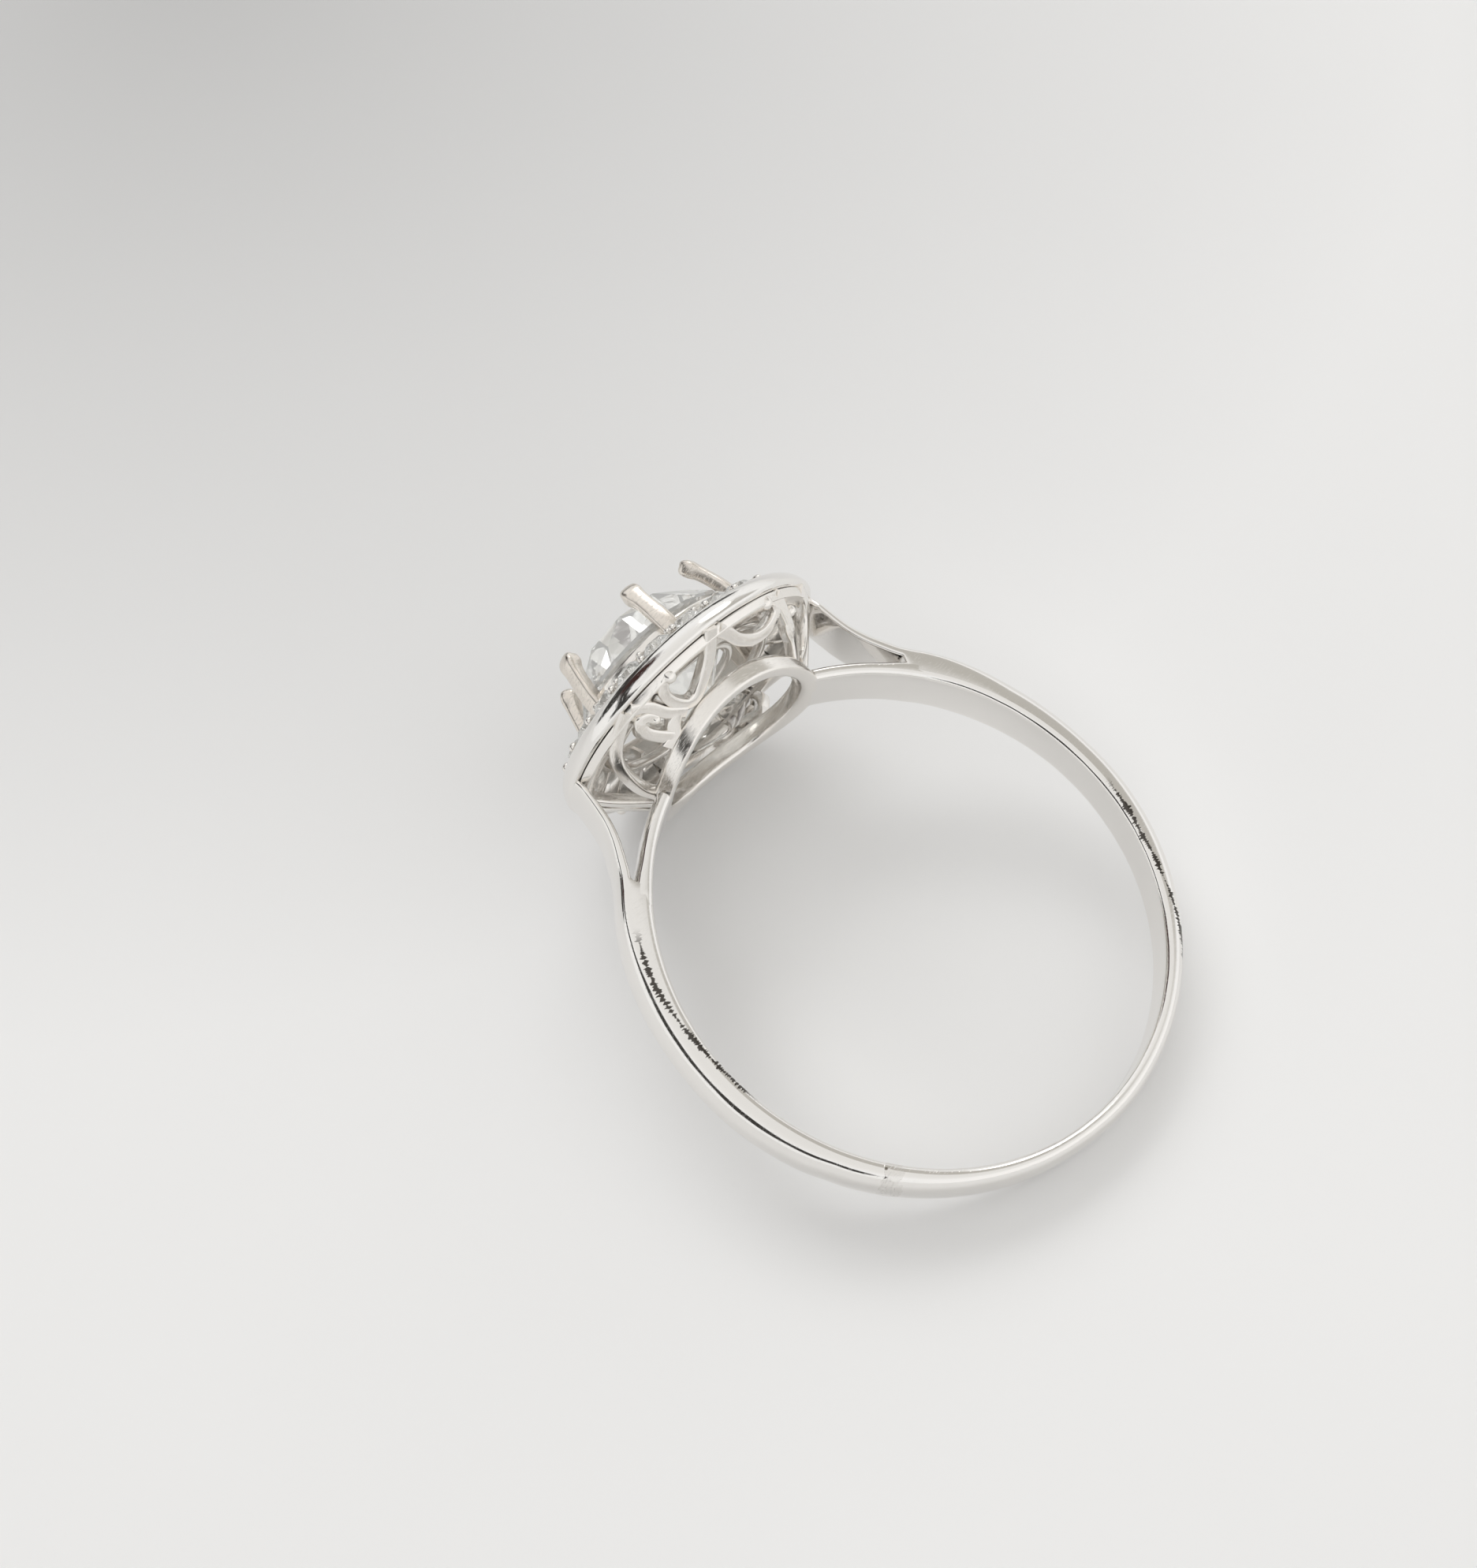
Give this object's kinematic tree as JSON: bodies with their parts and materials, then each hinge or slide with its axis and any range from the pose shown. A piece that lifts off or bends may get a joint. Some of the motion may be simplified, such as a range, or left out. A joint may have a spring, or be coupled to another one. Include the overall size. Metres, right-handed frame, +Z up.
{
  "type": "engagement ring",
  "caption": "Halo engagement ring on its side: forked shoulders, pierced scroll gallery, bevelled halo rim set with small stones, and a round stone held in claws.",
  "frame": {"origin": "centre of the footprint, on the surface that the ring lies on", "axes": "+Y from the bottom of the band towards the head, +Z up, +X across the head"},
  "size_m": [0.0188, 0.024, 0.0112],
  "materials": {
    "rhodium_white_gold": "bright rhodium plate over white gold, polished",
    "bare_white_gold": "polished white gold with the plate worn away, warm",
    "worn_solder": "duller solder line at the sizing joint",
    "diamond": "faceted colourless stone"
  },
  "bodies": {
    "root": {"base_rail": "rhodium_white_gold", "centre_diamond": "diamond", "claw_1": "bare_white_gold", "claw_2": "bare_white_gold", "claw_3": "bare_white_gold", "claw_4": "bare_white_gold", "claw_5": "bare_white_gold", "claw_6": "bare_white_gold", "gallery_top_rail": "rhodium_white_gold", "halo_diamond_01": "diamond", "halo_diamond_02": "diamond", "halo_diamond_03": "diamond", "halo_diamond_04": "diamond", "halo_diamond_05": "diamond", "halo_diamond_06": "diamond", "halo_diamond_07": "diamond", "halo_diamond_08": "diamond", "halo_diamond_09": "diamond", "halo_diamond_10": "diamond", "halo_diamond_11": "diamond", "halo_diamond_12": "diamond", "halo_diamond_13": "diamond", "halo_diamond_14": "diamond", "halo_diamond_15": "diamond", "halo_diamond_16": "diamond", "halo_diamond_17": "diamond", "halo_diamond_18": "diamond", "halo_diamond_19": "diamond", "halo_diamond_20": "diamond", "halo_diamond_21": "diamond", "halo_diamond_22": "diamond", "halo_frame": "rhodium_white_gold", "scroll_end_back": "rhodium_white_gold", "scroll_end_front": "rhodium_white_gold", "scroll_hook_back": "rhodium_white_gold", "scroll_hook_front": "rhodium_white_gold", "scroll_link_back": "rhodium_white_gold", "scroll_link_front": "rhodium_white_gold", "scroll_side_back": "rhodium_white_gold", "scroll_side_front": "rhodium_white_gold", "scroll_stem_back": "rhodium_white_gold", "scroll_stem_front": "rhodium_white_gold", "scroll_strut_back": "rhodium_white_gold", "scroll_strut_front": "rhodium_white_gold", "scroll_wide_back": "rhodium_white_gold", "scroll_wide_front": "rhodium_white_gold", "shank_left": "rhodium_white_gold", "shank_right": "rhodium_white_gold", "shoulder_inner_left": "rhodium_white_gold", "shoulder_inner_right": "rhodium_white_gold", "shoulder_outer_left": "rhodium_white_gold", "shoulder_outer_right": "rhodium_white_gold", "sizing_seam": "worn_solder", "stone_seat": "bare_white_gold"}
  },
  "joints": []
}
